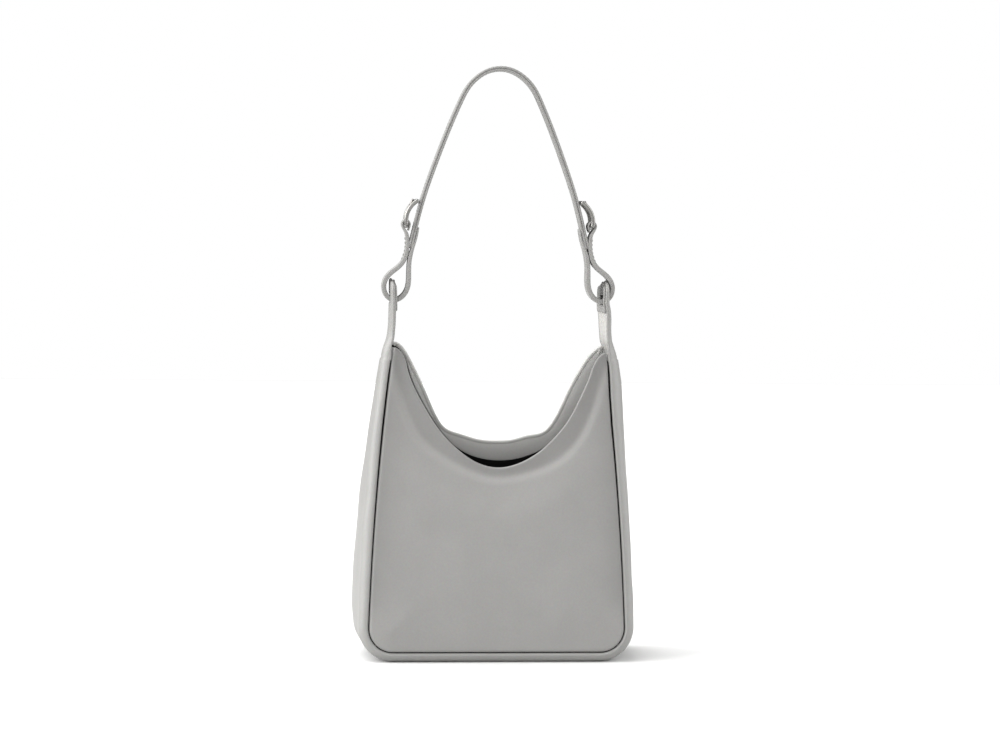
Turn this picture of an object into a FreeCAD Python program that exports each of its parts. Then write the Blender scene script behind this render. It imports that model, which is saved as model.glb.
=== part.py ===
import FreeCAD, Part
import math
import os

# A small hobo bag that stands on its base with its shoulder strap up.
# Front faces -Y, +X is to the right, +Z is up. The origin is under the middle of the base.

os.makedirs("parts", exist_ok=True)
V = FreeCAD.Vector

# ---- driving dimensions, in mm ----
# body seen from the front
CORNER_X = 88.4  # centre of the round bottom corners
CORNER_R = 29.0
SIDE_R = 2400.0  # the sides are very shallow arcs
SIDE_START_DEG = 1.8  # where a corner's arc runs into the side's arc
EAR_Z = 267.0  # top of the side strip
SEAM_INSET = 8.5  # from the outline in to the panel seams
LIP_R = 8.0  # rounding of the side strip at the seams

# body seen from the side: both panels lean in
BASE_HALF_DEPTH = 41.0
TOP_HALF_DEPTH = 12.0
TOP_Z = 270.0

# sheet thicknesses
LEATHER = 1.8
LINING = 0.8
FACING = 1.1
FACING_HEIGHT = 15.0
BOARD = 2.0

# right half of each mouth edge, as (x, z)
FRONT_MOUTH = [
    (0, 165), (20, 170), (36, 181), (50, 197.5), (62, 214), (72, 235), (79.5, 256), (90, 266.4),
]
BACK_MOUTH = [
    (0, 183.7), (16, 184.9), (31, 188.8), (42, 194.6), (49.5, 202),
    (56.6, 215.6), (64, 232), (72, 248.2), (81, 261.6), (92, 269),
]

# necks: the side strip's ends, which carry the strap
NECK_PIVOT_Z = 279.0  # where the neck folds
NECK_HALF = 10.5
HEAD_HALF = 14.0
HEAD_TOP = 323.0
NECK_T = 3.0
PATCH_T = 2.0
PATCH_LOW = 297.5
SLOT_LOW = 302.4
SLOT_HIGH = 312.0
SLOT_HALF = 9.2
NECK_LINE = [(95.0, 266), (93.6, 272), (92.4, 281), (91.9, 295), (91.9, 326)]

# strap
STRAP_W = 16.0
STRAP_T = 4.2
STRAP_LINE = [
    (75.0, 353), (71.3, 369), (65.6, 391), (55.0, 422.5), (43.4, 453), (34.0, 475),
    (27.6, 487), (19.5, 495.6), (10.0, 501.2), (0, 503),
]
HOLE_R = 1.6
HOLE_PITCH = 22.0
HOLE_FIRST_Z = 381.0

# buckle
BAR = (79.4, 370.5)
FAR_BAR = (70.6, 390.0)
ROD_R = 1.8
RAIL_Y = 11.2
RAIL_BULGE = 3.2
EYE_GAP = 0.35
EYE_T = 1.9
PRONG_R = 1.1
PRONG_TIP = 0.6  # how far the tip stops short of the far bar's middle
PRONG_EYE_HALF = 1.8
PRONG_GAP = 0.35

# magnetic snap
SNAP_Z = 138.0
SNAP_R = 9.0
SNAP_T = 2.6


# ---- helpers ----
def spline(points, y=0.0):
    curve = Part.BSplineCurve()
    curve.interpolate([V(x, y, z) for x, z in points])
    return curve.toShape()


def line(a, b, y=0.0):
    return Part.makeLine(V(a[0], y, a[1]), V(b[0], y, b[1]))


def across(wire, low, high):
    """A closed wire in the plane y = 0, made solid from y = low to y = high."""
    face = Part.Face(wire)
    face.translate(V(0, low, 0))
    return face.extrude(V(0, high - low, 0))


def mirrored(points):
    return [(-x, z) for x, z in reversed(points[1:])] + list(points)


def mirror_x(shape):
    return shape.mirror(V(0, 0, 0), V(1, 0, 0))


def cylinder_y(centre, radius, half_length):
    return Part.makeCylinder(radius, 2 * half_length, V(centre[0], -half_length, centre[1]), V(0, 1, 0))


def one_solid(shape):
    """The clean single solid of a boolean's result."""
    solids = shape.removeSplitter().Solids
    assert len(solids) == 1, "a piece came apart"
    return solids[0]


def save(shape, name):
    shape.exportStep("parts/" + name + ".step")


# ---- body ----
def flip(p):
    """The same outline point on the other side."""
    return (-p[0], p[1])


def outline_wire(inset):
    """The bag's front outline, drawn in by inset, closed well above the ears."""
    r = CORNER_R - inset
    big = SIDE_R - inset
    start = math.radians(SIDE_START_DEG)
    cz = CORNER_R
    side_x = CORNER_X - (SIDE_R - CORNER_R) * math.cos(start)
    side_z = cz - (SIDE_R - CORNER_R) * math.sin(start)
    low = math.radians(-90)
    mid = (low + start) / 2
    end = math.asin((TOP_Z + 12 - side_z) / big)

    def corner(angle):
        return (CORNER_X + r * math.cos(angle), cz + r * math.sin(angle))

    def side(angle):
        return (side_x + big * math.cos(angle), side_z + big * math.sin(angle))

    def arc(a, b, c):
        return Part.Arc(V(a[0], 0, a[1]), V(b[0], 0, b[1]), V(c[0], 0, c[1])).toShape()

    c0, c1, c2 = corner(low), corner(mid), corner(start)
    s1, s2 = side((start + end) / 2), side(end)
    edges = [
        line(flip(c0), c0),
        arc(c0, c1, c2),
        arc(c2, s1, s2),
        line(s2, flip(s2)),
        arc(flip(s2), flip(s1), flip(c2)),
        arc(flip(c2), flip(c1), flip(c0)),
    ]
    return Part.Wire(Part.__sortEdges__(edges))


def half_depth(z, inset):
    """How far the front and back planes are from the middle, drawn in by inset."""
    slope = (BASE_HALF_DEPTH - TOP_HALF_DEPTH) / TOP_Z
    return BASE_HALF_DEPTH - slope * z - inset * math.hypot(1, slope)


def wedge(inset, outer_x=140.0):
    """The space between the leaning front and back planes."""
    low, high = -20.0, TOP_Z + 20
    a, b = half_depth(low, inset), half_depth(high, inset)
    points = [V(-outer_x, -a, low), V(-outer_x, a, low), V(-outer_x, b, high), V(-outer_x, -b, high)]
    face = Part.Face(Part.makePolygon(points + [points[0]]))
    return face.extrude(V(2 * outer_x, 0, 0))


def bag_volume(inset):
    """The whole body as a filled shape with rounded seam edges, drawn in by inset."""
    solid = across(outline_wire(inset), -60, 60).common(wedge(inset))
    solid = one_solid(solid)
    edges = []
    for edge in solid.Edges:
        box = edge.BoundBox
        flat_top = box.ZMin > TOP_Z + 5
        crosses = box.YMin < 0 < box.YMax
        if not flat_top and not crosses:
            edges.append(edge)
    return solid.makeFillet(LIP_R - inset, edges)


def below(z, side=0):
    """Everything under height z; side -1 keeps the front half, 1 the back half."""
    low = 0 if side > 0 else -80
    high = 0 if side < 0 else 80
    return Part.makeBox(300, high - low, z + 50, V(-150, low, -50))


def under_mouth(points, side, drop=0.0):
    """The half space under a mouth edge, lowered by drop."""
    shifted = [(x, z - drop) for x, z in mirrored(points)]
    left, right = shifted[0], shifted[-1]
    edges = [
        spline(shifted),
        line(right, (150, right[1])),
        line((150, right[1]), (150, -50)),
        line((150, -50), (-150, -50)),
        line((-150, -50), (-150, left[1])),
        line((-150, left[1]), left),
    ]
    low, high = (-80, 0) if side < 0 else (0, 80)
    return across(Part.Wire(edges), low, high)


def panel_slab(side, outside, inside):
    """The flat slab between two insets of one leaning plane, inside the seam line."""
    slab = wedge(outside).cut(wedge(inside))
    seam = across(outline_wire(SEAM_INSET), -80, 80)
    return slab.common(seam).common(below(TOP_Z + 5, side))


def panel(points, side):
    return one_solid(panel_slab(side, 0, LEATHER).common(under_mouth(points, side)))


def facing(points, side):
    slab = panel_slab(side, LEATHER, LEATHER + FACING)
    strip = under_mouth(points, side).cut(under_mouth(points, side, FACING_HEIGHT))
    return one_solid(slab.common(strip))


def panel_lining(points, side):
    slab = panel_slab(side, LEATHER, LEATHER + LINING)
    return one_solid(slab.common(under_mouth(points, side, FACING_HEIGHT)))


def side_strip(outside, inside, top):
    """The side and bottom strip between two insets, outside the seam line."""
    shell = bag_volume(outside).cut(bag_volume(inside))
    seam = across(outline_wire(SEAM_INSET), -80, 80)
    return one_solid(shell.cut(seam).common(below(top)))


def base_board():
    board = Part.makeBox(170, 56, BOARD, V(-85, -28, LEATHER + LINING))
    upright = [e for e in board.Edges if abs(e.BoundBox.ZLength - BOARD) < 0.01]
    return board.makeFillet(12, upright)


def snap_disc(side):
    """A thin magnetic disc on the lining; the front one has the stud, the back one the hole."""
    tilt = math.degrees(math.atan((BASE_HALF_DEPTH - TOP_HALF_DEPTH) / TOP_Z))
    disc = Part.makeCylinder(SNAP_R, SNAP_T)
    disc = disc.makeFillet(0.8, [disc.Edges[0]])
    if side < 0:
        disc = disc.fuse(Part.makeCylinder(3.0, SNAP_T + 1.8))
    else:
        disc = disc.cut(Part.makeCylinder(3.4, SNAP_T + 1, V(0, 0, 0.7)))
    disc.rotate(V(0, 0, 0), V(1, 0, 0), side * 90.0 + tilt * side)
    y = side * half_depth(SNAP_Z, LEATHER + LINING)
    disc.translate(V(0, y, SNAP_Z))
    return one_solid(disc)


# ---- necks, at the right; the left ones are mirrored ----
def offset_points(points, distance):
    """Points beside a polyline; a positive distance is to the left of the way it runs."""
    result = []
    for i, (x, z) in enumerate(points):
        ax, az = points[max(i - 1, 0)]
        bx, bz = points[min(i + 1, len(points) - 1)]
        length = math.hypot(bx - ax, bz - az)
        nx, nz = -(bz - az) / length, (bx - ax) / length
        result.append((x + nx * distance, z + nz * distance))
    return result


def ribbon(points, left, right, width):
    """A strip that follows points, from offset left to offset right, width wide across Y."""
    a, b = offset_points(points, left), offset_points(points, right)
    edges = [spline(a), line(a[-1], b[-1]), spline(b), line(b[0], a[0])]
    return across(Part.Wire(Part.__sortEdges__(edges)), -width / 2, width / 2)


def yz_plate(wire_points_arcs, x0, x1):
    face = Part.Face(wire_points_arcs)
    face.translate(V(x0, 0, 0))
    return face.extrude(V(x1 - x0, 0, 0))


def neck_outline():
    """The neck in the YZ plane: a round lower end, a waist and a wider head with a slot."""
    r = NECK_HALF
    z0 = NECK_PIVOT_Z
    shoulder = HEAD_TOP - 9
    low = Part.Arc(V(0, -r, z0), V(0, 0, z0 - r), V(0, r, z0)).toShape()
    right = Part.BSplineCurve()
    right.interpolate([
        V(0, r, z0), V(0, r + 0.7, z0 + 10), V(0, HEAD_HALF - 0.6, z0 + 22), V(0, HEAD_HALF, shoulder),
    ])
    left = Part.BSplineCurve()
    left.interpolate([
        V(0, -HEAD_HALF, shoulder), V(0, -HEAD_HALF + 0.6, z0 + 22), V(0, -r - 0.7, z0 + 10), V(0, -r, z0),
    ])
    top = Part.BSplineCurve()
    top.interpolate([
        V(0, HEAD_HALF, shoulder),
        V(0, HEAD_HALF - 3.6, HEAD_TOP - 2.2),
        V(0, 0, HEAD_TOP),
        V(0, -HEAD_HALF + 3.6, HEAD_TOP - 2.2),
        V(0, -HEAD_HALF, shoulder),
    ])
    return Part.Wire([low, right.toShape(), top.toShape(), left.toShape()])


def neck_slot():
    slot = Part.makeBox(40, 2 * SLOT_HALF, SLOT_HIGH - SLOT_LOW, V(72, -SLOT_HALF, SLOT_LOW))
    return slot.makeFillet(2.5, [e for e in slot.Edges if abs(e.BoundBox.XLength - 40) < 0.01])


def neck_piece(left, right, low):
    """The neck's leather between two offsets from its line, above height low."""
    strip = ribbon(NECK_LINE, left, right, 40)
    plate = yz_plate(neck_outline(), 70, 115)
    upper = Part.makeBox(60, 60, 400, V(70, -30, low))
    return one_solid(strip.common(plate).common(upper).cut(neck_slot()))


# ---- strap ----
def strap_line():
    """The strap's whole centre line, from the left tail over the top to the right tail."""
    return [(-x, z) for x, z in STRAP_LINE] + list(reversed(STRAP_LINE[:-1]))


def point_at(z):
    """The right leg's point and downward direction at height z."""
    for (ax, az), (bx, bz) in zip(STRAP_LINE, STRAP_LINE[1:]):
        if az <= z <= bz:
            t = (z - az) / (bz - az)
            length = math.hypot(bx - ax, bz - az)
            return (ax + t * (bx - ax), z), ((bx - ax) / length, (bz - az) / length)
    raise ValueError("no such height on the strap")


def strap_holes():
    holes = []
    for i in range(3):
        (x, z), (dx, dz) = point_at(HOLE_FIRST_Z + i * HOLE_PITCH)
        across_dir = V(dz, 0, -dx)
        hole = Part.makeCylinder(HOLE_R, 16, V(x, 0, z) - across_dir * 8, across_dir)
        holes.append(hole)
        holes.append(mirror_x(hole))
    return holes


def strap_ply(left, right):
    ply = ribbon(strap_line(), left, right, STRAP_W)
    for hole in strap_holes():
        ply = ply.cut(hole)
    return one_solid(ply)


def link_strap():
    """A strap folded through the neck's slot; its top wraps the bar and pockets the strap's tail."""
    inboard = [
        (67.8, 368), (69.8, 358), (73.4, 347), (75.9, 337), (75.4, 325), (76.6, 313),
        (81.6, 306), (88.6, 303.8), (95.2, 306.6), (99.4, 313.5), (99.4, 321.5),
        (95.0, 330), (88.6, 337), (84.9, 343.5), (82.2, 351), (81.1, 358), (81.6, 364), (83.5, 370.5),
    ]
    edges = [spline(inboard), line(inboard[-1], (71.0, 370.5)), line((71.0, 370.5), inboard[0])]
    body = across(Part.Wire(Part.__sortEdges__(edges)), -STRAP_W / 2, STRAP_W / 2)
    eye_r = ROD_R + EYE_GAP + EYE_T
    body = body.fuse(cylinder_y(BAR, eye_r, STRAP_W / 2))
    body = body.cut(loop_opening())
    # the pocket that holds the strap's tail runs along the strap
    tail = [(75.6, 350.5), (71.3, 369), (68.7, 379)]
    half = STRAP_T / 2 + EYE_GAP
    body = body.cut(ribbon(tail, half, -half, STRAP_W + 4))
    body = body.cut(cylinder_y(BAR, ROD_R + EYE_GAP, STRAP_W))
    slit = cylinder_y(BAR, eye_r + 2.2, PRONG_EYE_HALF + 0.5)
    above = Part.makeBox(20, 20, 20, V(BAR[0] - 4.8, -10, BAR[1] - 4.4))
    body = body.cut(slit.common(above))
    return one_solid(body)


def loop_opening():
    """The see-through teardrop that the neck's head sits in."""
    points = [
        (80.4, 336), (79.5, 326), (80.4, 315), (84.2, 309.6), (89, 307.9), (93, 309.6),
        (95.4, 314.4), (95.3, 320.6), (91.8, 327.2), (86.4, 332.4), (80.4, 336),
    ]
    curve = Part.BSplineCurve()
    curve.interpolate([V(x, 0, z) for x, z in points[:-1]], PeriodicFlag=True)
    return across(Part.Wire([curve.toShape()]), -STRAP_W, STRAP_W)


# ---- buckle, at the right; the left one is mirrored ----
def buckle_normal():
    """The unit direction out from the strap at the buckle."""
    dx, dz = FAR_BAR[0] - BAR[0], FAR_BAR[1] - BAR[1]
    length = math.hypot(dx, dz)
    return dz / length, -dx / length


def rod_between(points, radius):
    """A round rod through three points of one plane."""
    arc = Part.Arc(*points).toShape()
    start = arc.valueAt(arc.FirstParameter)
    tangent = arc.tangentAt(arc.FirstParameter)
    disc = Part.Face(Part.Wire([Part.makeCircle(radius, start, tangent)]))
    circle = arc.Curve
    return disc.revolve(circle.Center, circle.Axis, math.degrees(arc.Length / circle.Radius))


def buckle_frame():
    nx, nz = buckle_normal()
    mid_x = (BAR[0] + FAR_BAR[0]) / 2 + nx * RAIL_BULGE
    mid_z = (BAR[1] + FAR_BAR[1]) / 2 + nz * RAIL_BULGE
    frame = cylinder_y(BAR, ROD_R, RAIL_Y).fuse(cylinder_y(FAR_BAR, ROD_R, RAIL_Y))
    for y in (-RAIL_Y, RAIL_Y):
        ends = [V(BAR[0], y, BAR[1]), V(mid_x, y, mid_z), V(FAR_BAR[0], y, FAR_BAR[1])]
        frame = frame.fuse(rod_between(ends, ROD_R))
        frame = frame.fuse(Part.makeSphere(ROD_R, ends[0])).fuse(Part.makeSphere(ROD_R, ends[2]))
    return one_solid(frame)


def prong():
    nx, nz = buckle_normal()
    reach = ROD_R + PRONG_R + PRONG_GAP
    start = V(BAR[0] + nx * 2.6, 0, BAR[1] + nz * 2.6)
    tip = V(FAR_BAR[0] + nx * reach + nz * PRONG_TIP, 0, FAR_BAR[1] + nz * reach - nx * PRONG_TIP)
    direction = tip - start
    shank = Part.makeCylinder(PRONG_R, direction.Length, start, direction)
    eye = cylinder_y(BAR, ROD_R + EYE_GAP + 1.4, PRONG_EYE_HALF)
    shape = shank.fuse(Part.makeSphere(PRONG_R, tip)).fuse(eye)
    return one_solid(shape.cut(cylinder_y(BAR, ROD_R + EYE_GAP, PRONG_EYE_HALF * 3)))


# ---- all the pieces ----
save(panel(FRONT_MOUTH, -1), "front_panel")
save(panel(BACK_MOUTH, 1), "back_panel")
save(side_strip(0, LEATHER, EAR_Z), "gusset")
save(facing(FRONT_MOUTH, -1), "front_facing")
save(facing(BACK_MOUTH, 1), "back_facing")
save(panel_lining(FRONT_MOUTH, -1), "front_lining")
save(panel_lining(BACK_MOUTH, 1), "back_lining")
save(side_strip(LEATHER, LEATHER + LINING, EAR_Z - 6), "gusset_lining")
save(base_board(), "base_board")
save(snap_disc(-1), "snap_stud")
save(snap_disc(1), "snap_socket")
save(strap_ply(STRAP_T / 2, 0), "strap_outer_ply")
save(strap_ply(0, -STRAP_T / 2), "strap_inner_ply")
both_sides = {
    "neck": neck_piece(NECK_T / 2, -NECK_T / 2, 200),
    "neck_patch": neck_piece(NECK_T / 2 + PATCH_T, NECK_T / 2, PATCH_LOW),
    "link_strap": link_strap(),
    "buckle_frame": buckle_frame(),
    "buckle_prong": prong(),
}
for name, shape in both_sides.items():
    save(shape, "right_" + name)
    save(mirror_x(shape), "left_" + name)
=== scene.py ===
import math

import bpy
import numpy as np
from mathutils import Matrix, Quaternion, Vector


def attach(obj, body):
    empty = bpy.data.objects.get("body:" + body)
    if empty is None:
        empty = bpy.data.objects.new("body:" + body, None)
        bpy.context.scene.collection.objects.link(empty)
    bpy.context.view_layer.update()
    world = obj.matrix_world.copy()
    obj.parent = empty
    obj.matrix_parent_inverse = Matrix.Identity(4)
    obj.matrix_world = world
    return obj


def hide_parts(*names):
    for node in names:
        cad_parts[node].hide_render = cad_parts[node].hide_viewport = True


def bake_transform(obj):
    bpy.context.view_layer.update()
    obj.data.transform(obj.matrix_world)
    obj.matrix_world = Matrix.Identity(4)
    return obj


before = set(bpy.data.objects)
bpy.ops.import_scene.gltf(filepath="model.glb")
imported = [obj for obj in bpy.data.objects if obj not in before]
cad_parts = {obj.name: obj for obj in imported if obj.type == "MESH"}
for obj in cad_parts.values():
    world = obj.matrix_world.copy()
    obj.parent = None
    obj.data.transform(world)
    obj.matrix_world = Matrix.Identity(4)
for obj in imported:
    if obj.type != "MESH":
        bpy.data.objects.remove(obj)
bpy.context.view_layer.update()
MM = 0.001

# ---------------------------------------------------------------- sizes, in mm
# the outline: a flat base, a round corner, then a very slightly curved side that leans inwards
CORNER_X, CORNER_R, SIDE_R, START = 88.4, 29.0, 2400.0, math.radians(1.8)
BASE_HALF, TOP_HALF, TOP_Z = 41.0, 12.0, 270.0
SLOPE = (BASE_HALF - TOP_HALF) / TOP_Z
SEAM = 8.5  # how far the panels' seam lies in from the outline
# the mouth edges, as (x, z) from left to right
FRONT_MOUTH = [
    (-92, 266.2), (-86.6, 265.2), (-82.6, 262), (-79.4, 256), (-77.4, 248), (-69.2, 227.6), (-61.3, 213.5),
    (-50.0, 196.4), (-35.6, 181), (-19, 169.2), (0, 164.4), (19, 168.6), (37, 179.6), (49.6, 191.8),
    (60, 205), (69, 222.6), (76.4, 242), (80, 254), (86, 261.6), (92, 263.6),
]
BACK_MOUTH = [
    (-92, 270.2), (-84.4, 268.2), (-78.8, 262.6), (-71.2, 249.1), (-63.7, 234), (-56, 216.8), (-48.6, 201.5),
    (-43.2, 194.8), (-31.2, 189.8), (-14.3, 184.8), (3.6, 183.6), (16, 184.8), (29, 188.5), (41.2, 191.2),
    (49.5, 199.8), (56.8, 213.9), (63.8, 230.1), (72.8, 247.2), (81.8, 260.8), (92, 269),
]
# where the lining ends and the facing starts inside the back panel: it follows the front mouth edge
BACK_SEAM = [
    (-92, 268), (-85.4, 265.6), (-81.0, 261.4), (-77.4, 254.9), (-75.0, 246), (-66.7, 225.1), (-58.9, 210.9),
    (-47.2, 193.1), (-31, 176.6), (-14, 168.8), (2.5, 166.4), (18, 167.6), (31, 171.4), (42.5, 177.4),
    (52.3, 187.2), (62.0, 199.6), (71.6, 216.4), (79.2, 235.0), (83.4, 248.5), (88.0, 257.6), (92, 260),
]
# a soft crease in the front panel below its mouth edge, shaped in the leather and also painted in its colour
# as shade above it and a highlight just below
CREASE = [
    (-92, 250), (-83, 222), (-74.3, 201.4), (-65, 186.6), (-48.5, 173.5), (-24.7, 160.7), (-1, 154.9),
    (23.5, 158.3), (49.3, 168.6), (67.6, 184.7), (78.7, 205), (86, 229), (92, 250),
]
BEAD = 3.4  # thickness of the turned mouth edge
GROOVE = 0.3
EAR_END = {"front": 89.8, "back": 91.2}  # where each panel's mouth edge ends, along x
LEATHER_T, FACING_T, LINING_T = 1.8, 1.25, 0.5
NECK_FOOT, NECK_TOP = 255.0, 322.6
NECK_PATH = [
    (98.75, NECK_FOOT), (98.3, 261), (97.0, 267), (95.3, 273), (94.0, 281), (93.5, 291), (93.4, 302),
    (93.4, NECK_TOP),
]
STRAP_LINE = [
    (75.8, 349.8), (71.3, 369), (65.6, 391), (55.0, 422.5), (43.4, 453), (34.0, 475),
    (27.6, 487), (19.5, 495.6), (10.0, 501.2), (0, 503),
]
STRAP_HALF = 8.0
HOLE_Z, HOLE_STEP, HOLE_R = 381.0, 22.0, 1.6
STITCH_ROWS = (-5.9, 5.9)
SLOT_LOW, SLOT_HIGH, SLOT_SHARE = 302.4, 312.0, 0.657
BAR = (79.4, 370.5)


# ---------------------------------------------------------------- curves
def run_length(p):
    """The distance along a polyline at each of its points."""
    return np.concatenate([[0], np.cumsum(np.linalg.norm(np.diff(p, axis=0), axis=1))])


def directions(p):
    """The unit direction of a polyline at each of its points."""
    d = np.gradient(p, axis=0)
    return d / np.linalg.norm(d, axis=1, keepdims=True)


def cubic(points, count):
    """A smooth curve through points, as count evenly spaced points."""
    p = np.array(points, float)
    t = run_length(p)
    n = len(t)
    h = np.diff(t)
    a = np.zeros((n, n))
    b = np.zeros((n, p.shape[1]))
    a[0, 0] = a[-1, -1] = 1
    for i in range(1, n - 1):
        a[i, i - 1], a[i, i], a[i, i + 1] = h[i - 1], 2 * (h[i - 1] + h[i]), h[i]
        b[i] = 6 * ((p[i + 1] - p[i]) / h[i] - (p[i] - p[i - 1]) / h[i - 1])
    m = np.linalg.solve(a, b)

    def at(x):
        i = np.clip(np.searchsorted(t, x, side="right") - 1, 0, n - 2)
        d, u, v = h[i][:, None], (t[i + 1] - x)[:, None], (x - t[i])[:, None]
        bend = (m[i] * u**3 + m[i + 1] * v**3) / (6 * d)
        return bend + (p[i] / d - m[i] * d / 6) * u + (p[i + 1] / d - m[i + 1] * d / 6) * v

    fine = at(np.linspace(0, t[-1], 1500))
    s = run_length(fine)
    want = np.linspace(0, s[-1], count)
    return np.stack([np.interp(want, s, fine[:, k]) for k in range(p.shape[1])], 1)


def drawn_down(points, count, distance):
    """A smooth curve from left to right, moved down into the panel by distance."""
    line = cubic(points, count)
    d = directions(line)
    return line + np.stack([d[:, 1], -d[:, 0]], 1) * distance


def smooth(x, low, high):
    """A soft step from 0 at low to 1 at high."""
    t = np.clip((np.asarray(x, float) - low) / (high - low), 0, 1)
    return t * t * (3 - 2 * t)


def half_depth(z):
    """Half the bag's depth at height z."""
    return BASE_HALF - SLOPE * np.asarray(z, float)


SIDE_C = (
    CORNER_X - (SIDE_R - CORNER_R) * math.cos(START),
    CORNER_R - (SIDE_R - CORNER_R) * math.sin(START),
)
# stations along the outline, in mm from the bottom centre
A_CORNER = CORNER_X
A_SIDE = CORNER_X + CORNER_R * (math.pi / 2 + START)
A_NECK = A_SIDE + SIDE_R * (math.asin((NECK_FOOT - SIDE_C[1]) / SIDE_R) - START)


def outline(a, inset=0.0):
    """Points (x, z) of the outline at signed stations a, drawn in by inset, and the outward normals."""
    a = np.asarray(a, float)
    s, q = np.sign(a), np.abs(a)
    x, z = np.minimum(q, A_CORNER), np.zeros_like(q)
    nx, nz = np.zeros_like(q), -np.ones_like(q)
    f = -math.pi / 2 + (q - A_CORNER) / CORNER_R
    on = (q > A_CORNER) & (q <= A_SIDE)
    x = np.where(on, CORNER_X + CORNER_R * np.cos(f), x)
    z = np.where(on, CORNER_R + CORNER_R * np.sin(f), z)
    nx, nz = np.where(on, np.cos(f), nx), np.where(on, np.sin(f), nz)
    f = START + (q - A_SIDE) / SIDE_R
    on = q > A_SIDE
    x = np.where(on, SIDE_C[0] + SIDE_R * np.cos(f), x)
    z = np.where(on, SIDE_C[1] + SIDE_R * np.sin(f), z)
    nx, nz = np.where(on, np.cos(f), nx), np.where(on, np.sin(f), nz)
    return np.stack([s * (x - inset * nx), z - inset * nz], -1), np.stack([s * nx, nz], -1)


def twist(p):
    """The right neck turns a little about its own length, and takes the front ear outwards with it."""
    x, y, z = p[..., 0], p[..., 1], p[..., 2]
    heights = [200, 225, 240, 252, 265, 275, 290, 298, 304, 323]
    reach = np.interp(z, heights, [0, 0.9, 1.9, 2.8, 3.4, 5.4, 5.8, 4.8, 3.0, 2.6])
    neck_width = 26.0
    front = np.clip(0.5 - y / neck_width, 0, 1)
    moved = np.array(p, float)
    moved[..., 0] = x + reach * front * smooth(x, 40, 86)
    return moved


def wave(x, z, seed):
    """A slow, fixed unevenness between about -1 and 1."""
    r = np.random.RandomState(seed)
    total = 0
    for k in range(7):
        length = r.uniform(38, 120)
        angle = r.uniform(0, math.pi)
        along = x * math.cos(angle) + z * math.sin(angle)
        total = total + np.sin(along * 2 * math.pi / length + r.uniform(0, 6.28))
    return total / 3.2


def distance_to(points, line):
    """The distance from each of points (n, 2) to a polyline of close points."""
    best = np.full(len(points), 1e9)
    for p0, p1 in zip(line[:-1], line[1:]):
        d = p1 - p0
        t = np.clip(((points - p0) @ d) / max(d @ d, 1e-12), 0, 1)
        best = np.minimum(best, np.linalg.norm(points - p0 - t[:, None] * d, axis=1))
    return best


# ---------------------------------------------------------------- meshes
def make_object(name, verts, faces, materials, face_material=None, smooth_faces=True, painted_shading=None):
    """An object from points in mm, with an optional brightness per point kept as a colour attribute; the
    panel leather multiplies it into its colour as painted shade and painted highlight.
    """
    mesh = bpy.data.meshes.new(name)
    points = [tuple(v) for v in np.asarray(verts) * MM]
    mesh.from_pydata(points, [], [tuple(int(i) for i in f) for f in faces])
    mesh.validate()
    for m in materials:
        mesh.materials.append(m)
    if face_material is not None:
        mesh.polygons.foreach_set("material_index", np.asarray(face_material, np.int32))
    mesh.polygons.foreach_set("use_smooth", np.full(len(mesh.polygons), smooth_faces))
    mesh.update()
    shade = mesh.color_attributes.new("painted_shading", "FLOAT_COLOR", "POINT")
    levels = np.ones(len(verts)) if painted_shading is None else np.asarray(painted_shading)
    shade.data.foreach_set("color", np.repeat(levels[:, None], 4, 1).astype(np.float32).ravel())
    o = bpy.data.objects.new(name, mesh)
    bpy.context.scene.collection.objects.link(o)
    return o


def unit(v):
    return v / max(np.linalg.norm(v), 1e-9)


def grid_normals(p):
    """Unit normals of a grid of points."""
    du, dv = np.gradient(p, axis=0), np.gradient(p, axis=1)
    n = np.cross(du, dv)
    return n / np.maximum(np.linalg.norm(n, axis=-1, keepdims=True), 1e-12)


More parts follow.
